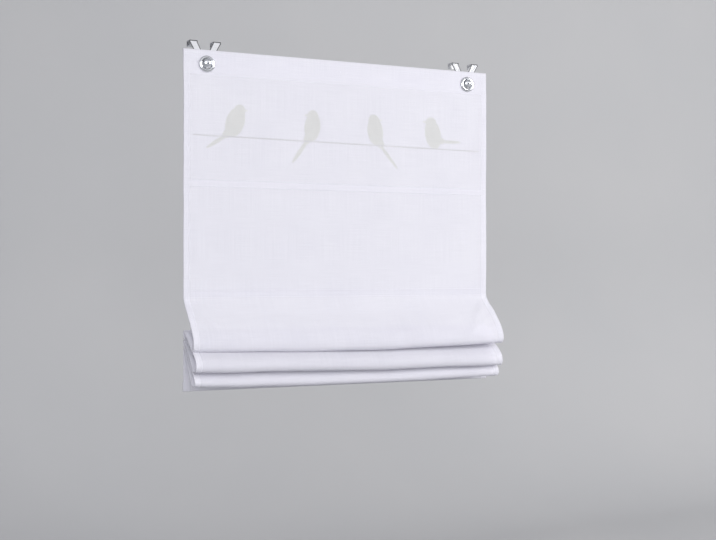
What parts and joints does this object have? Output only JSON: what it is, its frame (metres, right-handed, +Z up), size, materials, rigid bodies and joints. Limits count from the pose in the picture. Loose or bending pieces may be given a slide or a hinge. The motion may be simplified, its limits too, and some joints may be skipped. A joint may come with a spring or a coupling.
{
  "type": "roman blind",
  "caption": "Sheer white voile roman blind, partly raised, hung on a window sash by two chromed hangers through eyelets, with stave pockets, lift cords and cord locks.",
  "frame": {"origin": "midway between the two hangers, where the front face of the window sash meets its top edge", "axes": "+X to the right seen from the room, -Y into the room, +Z up"},
  "size_m": [0.8, 0.115, 0.7945],
  "materials": {
    "voile": "sheer woven voile, fine even weave, with a pale grey print",
    "stave": "flat pultruded rod, satin",
    "bar": "flat extruded bar, satin",
    "eyelet_chrome": "bright chrome plate",
    "knob_chrome": "bright chrome plate, turned",
    "hanger_chrome": "bright chrome plate on pressed sheet",
    "ring_plastic": "moulded white",
    "guide_plastic": "moulded white",
    "lock_plastic": "moulded white",
    "button_plastic": "moulded white",
    "spring_steel": "drawn spring wire",
    "cord_yarn": "braided white polyester",
    "bell_plastic": "moulded white"
  },
  "bodies": {
    "blind": {"bottom_bar": "bar", "centre_cord_bell": "bell_plastic", "centre_cord_guide": "guide_plastic", "centre_lift_cord": "cord_yarn", "centre_lock_body": "lock_plastic", "centre_lock_spring": "spring_steel", "centre_ring_1": "ring_plastic", "centre_ring_2": "ring_plastic", "centre_ring_3": "ring_plastic", "centre_ring_4": "ring_plastic", "centre_ring_5": "ring_plastic", "cloth": "voile", "header_stave": "stave", "left_cord_bell": "bell_plastic", "left_cord_guide": "guide_plastic", "left_eyelet_back": "eyelet_chrome", "left_eyelet_front": "eyelet_chrome", "left_hanger": "hanger_chrome", "left_hanger_knob": "knob_chrome", "left_lift_cord": "cord_yarn", "left_lock_body": "lock_plastic", "left_lock_spring": "spring_steel", "left_ring_1": "ring_plastic", "left_ring_2": "ring_plastic", "left_ring_3": "ring_plastic", "left_ring_4": "ring_plastic", "left_ring_5": "ring_plastic", "right_cord_bell": "bell_plastic", "right_cord_guide": "guide_plastic", "right_eyelet_back": "eyelet_chrome", "right_eyelet_front": "eyelet_chrome", "right_hanger": "hanger_chrome", "right_hanger_knob": "knob_chrome", "right_lift_cord": "cord_yarn", "right_lock_body": "lock_plastic", "right_lock_spring": "spring_steel", "right_ring_1": "ring_plastic", "right_ring_2": "ring_plastic", "right_ring_3": "ring_plastic", "right_ring_4": "ring_plastic", "right_ring_5": "ring_plastic", "stave_1": "stave", "stave_2": "stave", "stave_3": "stave", "stave_4": "stave", "stave_5": "stave"},
    "left_button": {"left_lock_button": "button_plastic"},
    "centre_button": {"centre_lock_button": "button_plastic"},
    "right_button": {"right_lock_button": "button_plastic"}
  },
  "joints": [
    {"name": "left_button_slide", "type": "slide", "parent": "blind", "child": "left_button", "axis": [-1, 0, 0], "range_m": [0, 0.003], "stiffness_N_per_m": 400, "springref_m": -0.004, "deforming": ["left_lock_spring"]},
    {"name": "centre_button_slide", "type": "slide", "parent": "blind", "child": "centre_button", "axis": [-1, 0, 0], "range_m": [0, 0.003], "stiffness_N_per_m": 400, "springref_m": -0.004, "deforming": ["centre_lock_spring"]},
    {"name": "right_button_slide", "type": "slide", "parent": "blind", "child": "right_button", "axis": [-1, 0, 0], "range_m": [0, 0.003], "stiffness_N_per_m": 400, "springref_m": -0.004, "deforming": ["right_lock_spring"]}
  ]
}
